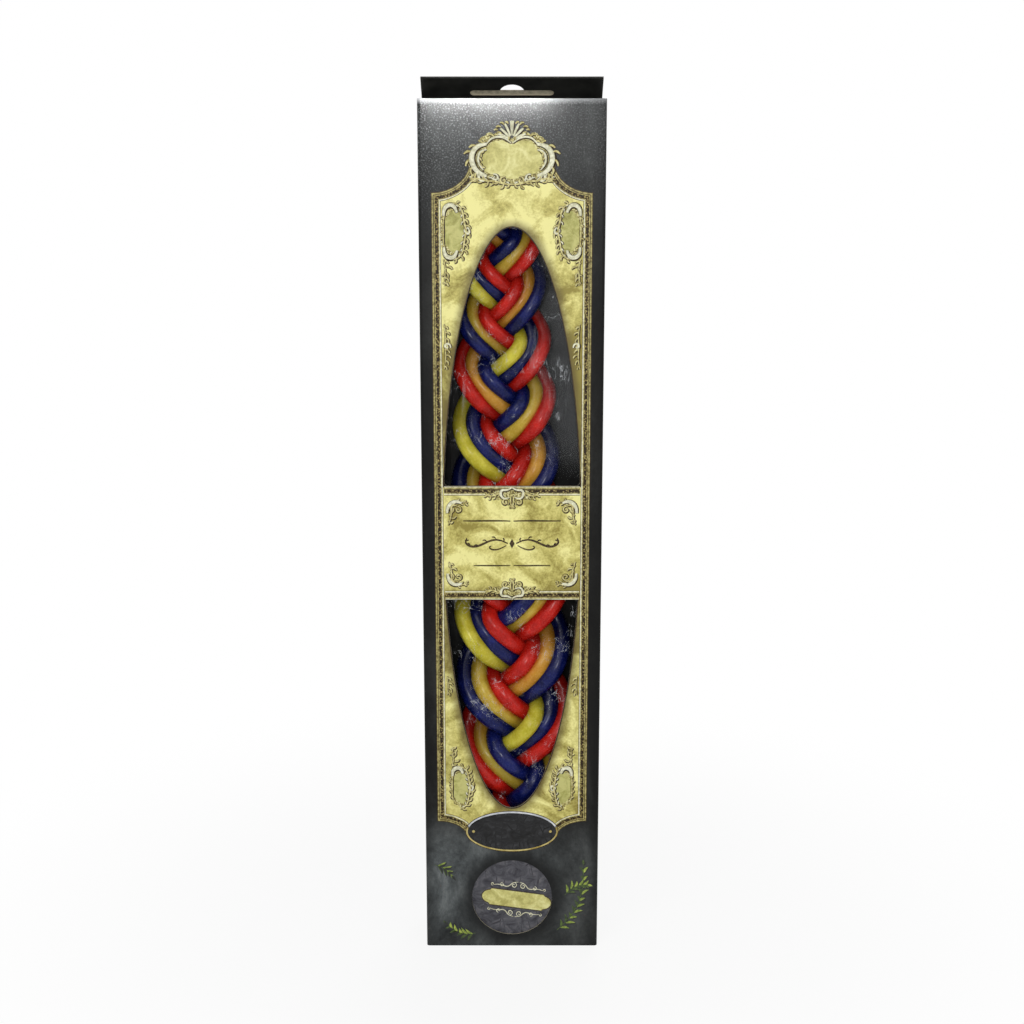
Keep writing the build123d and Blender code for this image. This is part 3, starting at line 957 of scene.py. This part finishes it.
def leafPrint(name, outlines, lift, finish):
    bm = bmesh.new()
    for number, outline in enumerate(outlines):
        y = faceY - (lift + number * leaf["step"]) * mm
        bm.faces.new([bm.verts.new((x * mm, y, z * mm)) for x, z in outline])
    bmesh.ops.recalc_face_normals(bm, faces=bm.faces)
    for face in bm.faces:
        if face.normal.y > 0:
            face.normal_flip()
    return placePiece(bmeshMesh(bm, name, finish), name, "carton")


leafShadow = leafFinish("leaf shadow", (0.003, 0.004, 0.003), (0.010, 0.012, 0.008))
leafDark = leafFinish("dark printed leaves", (0.012, 0.026, 0.004), (0.070, 0.115, 0.014))
leafPale = leafFinish("pale printed leaves", (0.11, 0.17, 0.018), (0.36, 0.44, 0.07))
outlines = [outline for *bow, pairs in sprays for outline in leafSpray(bow, pairs)]
shadows = [shifted(outline, leaf["shift"]) for outline in outlines]
stems = [(leaf["stem"], [stemPoint(bow, k / 5) for k in range(6)]) for *bow, pairs in sprays]
leafPrint("leaf_shadows", shadows, leaf["shadowLift"], leafShadow)
linePrint("leaf_stems", stems, leaf["stemLift"], leafDark, flat=0.08)
leafPrint("leaves_dark", outlines[::2], leaf["darkLift"], leafDark)
leafPrint("leaves_pale", outlines[1::2], leaf["paleLift"], leafPale)
print("leaf sprays laid:", len(outlines), "leaves")


# Wax strands: the line of each CAD strand, laid again as a full round tube
wax = {
    "foot": 6.8, "top": 0.79, "taperFrom": 125.0, "taperTo": 218.0, "stations": 96,
    "tip": 6.0, "sides": 5, "steps": 2, "nearRedReach": 1.5, "nearRedShare": 0.75,
    "nearRedTone": (0.46, 0.05, 0.012), "paintedShadeFrom": (-10.0, -2.0), "paintedShadeShare": 0.8, "paintedShadeTone": 0.35,
    "footFrom": (112, 78), "footShare": 0.9, "footTones": {"amber": (0.36, 0.29, 0.035)},
}
waxTones = {
    "red": ((0.36, 0.008, 0.005), (0.58, 0.018, 0.010)),
    "blue": ((0.002, 0.004, 0.042), (0.008, 0.014, 0.120)),
    "yellow": ((0.42, 0.36, 0.020), (0.62, 0.56, 0.065)),
    "amber": ((0.46, 0.20, 0.018), (0.62, 0.33, 0.045)),
    "gold": ((0.42, 0.27, 0.020), (0.58, 0.42, 0.060)),
}


def waxFinish(colour):
    finish = Finish(colour + " wax")
    dark, pale = waxTones[colour]
    mottle = finish.noise(5, 4, 0.6)
    grain = finish.noise(0.8, 3, 0.6)
    tone = finish.ramp(mottle + (grain - 0.5) * 0.2, (0.32, dark), (0.68, pale))
    x, y, z = finish.axes()
    if colour in wax["footTones"]:
        foot = finish.span(z, *wax["footFrom"]) * wax["footShare"]
        tone = finish.mix(foot, tone, wax["footTones"][colour])
    # redder where the strand lies close to a red strand
    bleed = finish.node("Attribute", {"attribute_name": "bleed"}, {}, output="Fac")
    tone = finish.mix(bleed * wax["nearRedShare"], tone, wax["nearRedTone"])
    # painted shade: wax that lies further back is darker
    deep = finish.span(y, *wax["paintedShadeFrom"]) * wax["paintedShadeShare"]
    tone = finish.mix(deep, tone, tuple(c * wax["paintedShadeTone"] for c in dark))
    finish.shader.inputs["Subsurface Radius"].default_value = (1.0, 0.5, 0.3)
    return finish.surface(
        base_color=tone,
        roughness=0.22 + grain * 0.10,
        normal=finish.bump(mottle * 0.7 + grain * 0.3, 0.10, 0.35),
        specular_ior_level=0.20,
        subsurface_weight=0.06,
        subsurface_scale=0.0015)


def strandLine(node):
    low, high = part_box(node)
    step = (high.z - low.z) / wax["stations"]
    rings = {}
    for vertex in frame["nodes"][node].data.vertices:
        station = round((vertex.co.z - low.z) / step)
        if abs(vertex.co.z - low.z - station * step) < 0.00002:
            rings.setdefault(station, set()).add(tuple(round(c, 6) for c in vertex.co))
    return [sum((Vector(p) for p in rings[k]), Vector()) / len(rings[k]) for k in sorted(rings)]


def fullness(z):
    share = (z - candleFoot - wax["taperFrom"] * mm) / ((wax["taperTo"] - wax["taperFrom"]) * mm)
    return 1 - (1 - wax["top"]) * min(1, max(0, share))


strandNodes = [node for node in frame["nodes"] if node.startswith("strand_")]
strandLines = {node: strandLine(node) for node in strandNodes}
redPoints = [p for node, line in strandLines.items() if node.endswith("red") for p in line]
redTree = kdtree.KDTree(len(redPoints))
for number, point in enumerate(redPoints):
    redTree.insert(point, number)
redTree.balance()
waxFinishes = {colour: waxFinish(colour) for colour in waxTones}


def waxStrand(node):
    line = strandLines[node]
    colour = node.split("_")[-1]
    name = node.replace("strand", "wax")
    curve = tubeCurve(name, wax["foot"] / 2 * mm, wax["sides"], wax["steps"])
    near = [min(1, (line[-1].z - place.z) / (wax["tip"] * mm)) for place in line]
    tips = [0.45 + 0.55 * math.sqrt(max(0, 1 - (1 - share) ** 2)) for share in near]
    addTube(curve, line, [fullness(place.z) * tip for place, tip in zip(line, tips)])
    mesh = curveMesh(curve, name, waxFinishes[colour])
    bleed = mesh.attributes.new("bleed", "FLOAT", "POINT")
    for number, vertex in enumerate(mesh.vertices):
        gap = redTree.find(vertex.co)[2] / mm - wax["foot"] / 2 * fullness(vertex.co.z)
        warm = 0 if colour in ("red", "blue") else min(1, max(0, 1 - gap / wax["nearRedReach"]))
        bleed.data[number].value = warm
    mesh.shade_smooth()
    piece = placePiece(mesh, name, "candle")
    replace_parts(piece, node)


for node in strandNodes:
    waxStrand(node)
print("wax laid:", len(strandNodes), "strands")


# Cotton wicks stay as their CAD nodes
def cottonFinish():
    finish = Finish("waxed cotton")
    twist = finish.node("TexWave", {"bands_direction": "DIAGONAL"}, {
        "Vector": finish.place(), "Scale": 900.0, "Distortion": 1.5})
    colour = finish.ramp(twist, (0.2, (0.52, 0.47, 0.36)), (0.8, (0.82, 0.78, 0.66)))
    return finish.plain(colour, 0.6 + twist * 0.2, (twist, 0.15, 0.8))


cotton = cottonFinish()
for node in frame["nodes"]:
    if node.startswith("wick_"):
        paint(node, cotton)


# Window film: a thin sheet with soft waves and crinkles, and painted reflections in white
film = {"wave": 0.05, "across": 0.31, "up": 0.17, "cuts": 60, "y": (filmLow.y + filmHigh.y) / 2}


def filmFinish():
    finish = Finish("clear window film")
    x, y, z = finish.axes()
    patch = finish.noise(11, 3, 0.6)
    curl = finish.noise(6.5, 2, 0.5, stretch=(1.3, 1, 0.7), turn=(0, 0.5, 0), warp=1.6)
    fine = finish.noise(2.6, 2, 0.5, stretch=(1, 1, 0.7), warp=1.0)
    streak = finish.noise(5, 4, 0.62, stretch=(1.0, 1, 0.16), turn=(0, 0.12, 0), warp=0.5)
    # painted reflections: white curls, ticks, a streaky veil and a haze, shown through alpha
    loops = finish.span(abs(curl - 0.5), 0.016, 0.0) * finish.span(patch, 0.52, 0.64)
    ticks = finish.span(abs(fine - 0.5), 0.03, 0.0) * finish.span(patch, 0.60, 0.70)
    paintedVeil = finish.span(streak, 0.60, 0.76) * finish.span(z, 205, 230)
    haze = finish.span(x + patch * 18, 14, 32) * finish.span(z, 195, 215)
    alpha = (loops * 0.30 + ticks * 0.26 + paintedVeil * 0.12 + haze * 0.05).least(0.5)
    return finish.surface(
        base_color=(0.80, 0.83, 0.86),
        roughness=0.16 + patch * 0.1,
        normal=finish.bump(patch + curl, 0.5, 0.5),
        alpha=alpha)


bm = bmesh.new()
bmesh.ops.create_grid(bm, x_segments=film["cuts"] // 3, y_segments=film["cuts"], size=0.5)
filmWide = filmHigh.x - filmLow.x
filmTall = filmHigh.z - filmLow.z
filmPlace = Matrix.Translation((0, film["y"], (filmLow.z + filmHigh.z) / 2))
filmPlace = filmPlace @ standUp @ Matrix.Diagonal((filmWide, filmTall, 1, 1))
bmesh.ops.transform(bm, verts=bm.verts, matrix=filmPlace)
for vertex in bm.verts:
    across = math.sin(vertex.co.x / mm * film["across"])
    up = math.sin(vertex.co.z / mm * film["up"])
    vertex.co.y += film["wave"] * mm * across * up
filmMesh = bmeshMesh(bm, "film_sheet", filmFinish())
filmMesh.shade_smooth()
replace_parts(placePiece(filmMesh, "film_sheet", "carton"), "window_film")
print("film laid")


# Spice box: plastic cup and lid, and a round printed label with a gold bar
spice = {
    "tilt": -8.0, "halfLong": 14.2, "halfHigh": 3.5, "shiftX": 2.0, "shiftZ": -1.0, "notch": 0.7,
    "edge": 0.35, "curlLevel": 4.9,
    "curl": [(0.3, 2.8), (2.6, 2.6), (3.4, 0.6), (5.4, 0), (7.6, 1.2), (10.2, 0.4)],
    "edgeLift": 0.02, "barLift": 0.03, "curlLift": 0.02,
}


def spicePlastic():
    finish = Finish("pale spice plastic")
    cloud = finish.noise(8, 3)
    colour = finish.ramp(cloud, (0.3, (0.62, 0.62, 0.60)), (0.7, (0.74, 0.74, 0.72)))
    return finish.plain(colour, 0.30 + cloud * 0.1, (finish.noise(0.6, 2), 0.02, 0.3))


plastic = spicePlastic()
paint("spice_cup", plastic)
paint("spice_lid", plastic)
labelTones = ((0.030, 0.029, 0.036), (0.085, 0.085, 0.097), (0.165, 0.160, 0.170))
paint("spice_label", slateFinish("label slate", *labelTones, 7))
paint("clove_buds", lineFinish("dried clove", (0.05, 0.02, 0.008), (0.16, 0.075, 0.03), 1.5))


def onLabel(points):
    # shifted and tilted about the middle of the label
    turn = math.radians(spice["tilt"])
    placed = []
    for x, z in points:
        x += spice["shiftX"]
        z += spice["shiftZ"]
        across = x * math.cos(turn) - z * math.sin(turn)
        up = x * math.sin(turn) + z * math.cos(turn)
        placed.append((across, spiceZ + up))
    return placed


def labelBar(grow):
    # a bar with rounded ends that step in where they meet the straight sides
    high = spice["halfHigh"] + grow
    start = spice["halfLong"] + grow - high
    right = [(start, high)] + arc(start, 0, high, high - spice["notch"], 80, -80, 12) + [(start, -high)]
    return right + [(-x, -z) for x, z in right]


labelPrint = {"y": labelLow.y, "body": "spice_box", "slot": "spice_label"}
flatPrint("label_bar_edge", [onLabel(labelBar(spice["edge"]))], spice["edgeLift"], frameBrown, **labelPrint)
flatPrint("label_bar", [onLabel(labelBar(0))], spice["barLift"], goldPale, **labelPrint)
curls = []
for rise in (1, -1):
    level = rise * spice["curlLevel"]
    runs = [(0.42, [(x, level + rise * up) for x, up in spice["curl"]]),
            (0.38, volute(1.9, level + rise * 1.2, 1.3, 90 * rise, 1.2, rise)),
            (0.36, volute(6.6, level + rise * 0.9, 1.0, 90 * rise, 1.1, -rise)),
            (0.34, volute(10.6, level + rise * 0.7, 0.7, -90 * rise, 1.0, rise))]
    curls += bothSides(runs)
curls = [(width, onLabel(points)) for width, points in curls]
linePrint("label_curls", curls, spice["curlLift"], frameCream, **labelPrint, flat=0.2)
print("spice box dressed")


# Floor, light and camera
stage = {"floor": (0.90, 0.90, 0.90), "glow": 0.88, "near": 60.0, "far": 300.0, "size": 6.0}


def floorFinish():
    finish = Finish("pale floor")
    x, y, z = finish.axes()
    reach = (x * x + y * y).power(0.5)
    glowing = finish.span(reach, stage["near"], stage["far"], stage["glow"], 1.0)
    seen = seenRays(finish.tree) * glowing
    finish.surface(base_color=stage["floor"], roughness=0.8)
    glow = finish.node("Emission", {}, {"Color": (1, 1, 1, 1), "Strength": 1.0})
    both = finish.tree.nodes.new("ShaderNodeMixShader")
    feed(finish.tree, both.inputs[0], seen)
    finish.tree.links.new(finish.shader.outputs[0], both.inputs[1])
    feed(finish.tree, both.inputs[2], glow)
    finish.tree.links.new(both.outputs[0], finish.tree.nodes["Material Output"].inputs[0])
    return finish.material


bm = bmesh.new()
bmesh.ops.create_grid(bm, x_segments=1, y_segments=1, size=stage["size"])
floorPiece = bpy.data.objects.new("floor", bmeshMesh(bm, "floor", floorFinish()))
bpy.context.scene.collection.objects.link(floorPiece)

studio = {"ambient": 0.26, "aim": (0, 0, 0.17)}
world = bpy.data.worlds.new("studio")
bpy.context.scene.world = world
world.use_nodes = True
worldTree = world.node_tree
background = worldTree.nodes["Background"]
strength = seenRays(worldTree) * (1 - studio["ambient"]) + studio["ambient"]
feed(worldTree, background.inputs["Strength"], strength)
background.inputs["Color"].default_value = (1, 1, 1, 1)

# each lamp: name, place, size and power; the strip makes the gloss at the carton's top
lamps = (
    ("key", (-0.55, -0.95, 0.95), (0.55, 0.55), 3.6),
    ("fill", (0.70, -0.80, 0.45), (0.60, 0.60), 1.3),
    ("back", (0.20, 0.90, 0.90), (0.60, 0.60), 4.0),
    ("front", (-0.020, -0.69, 0.397), (0.11, 0.03), 0.7),
    ("strip", (-0.018, -0.69, 0.346), (0.09, 0.006), 0.9),
)
for name, spot, size, power in lamps:
    lamp = bpy.data.lights.new(name, "AREA")
    lamp.shape = "RECTANGLE"
    lamp.size, lamp.size_y = size
    lamp.energy = power
    holder = bpy.data.objects.new(name, lamp)
    holder.location = spot
    aim = Vector(studio["aim"]) - Vector(spot)
    holder.rotation_euler = aim.to_track_quat("-Z", "Y").to_euler()
    bpy.context.scene.collection.objects.link(holder)

view = {"place": (0.0, -0.6752, 0.3421), "pitch": 13.48, "lens": 61.52, "sensor": 36.0}
camera = bpy.data.cameras.new("camera")
camera.lens = view["lens"]
camera.sensor_width = view["sensor"]
cameraHolder = bpy.data.objects.new("camera", camera)
cameraHolder.location = view["place"]
cameraHolder.rotation_euler = (math.radians(90 - view["pitch"]), 0, 0)
bpy.context.scene.collection.objects.link(cameraHolder)
bpy.context.scene.camera = cameraHolder
bpy.context.scene.view_settings.view_transform = "Standard"
print("stage set")
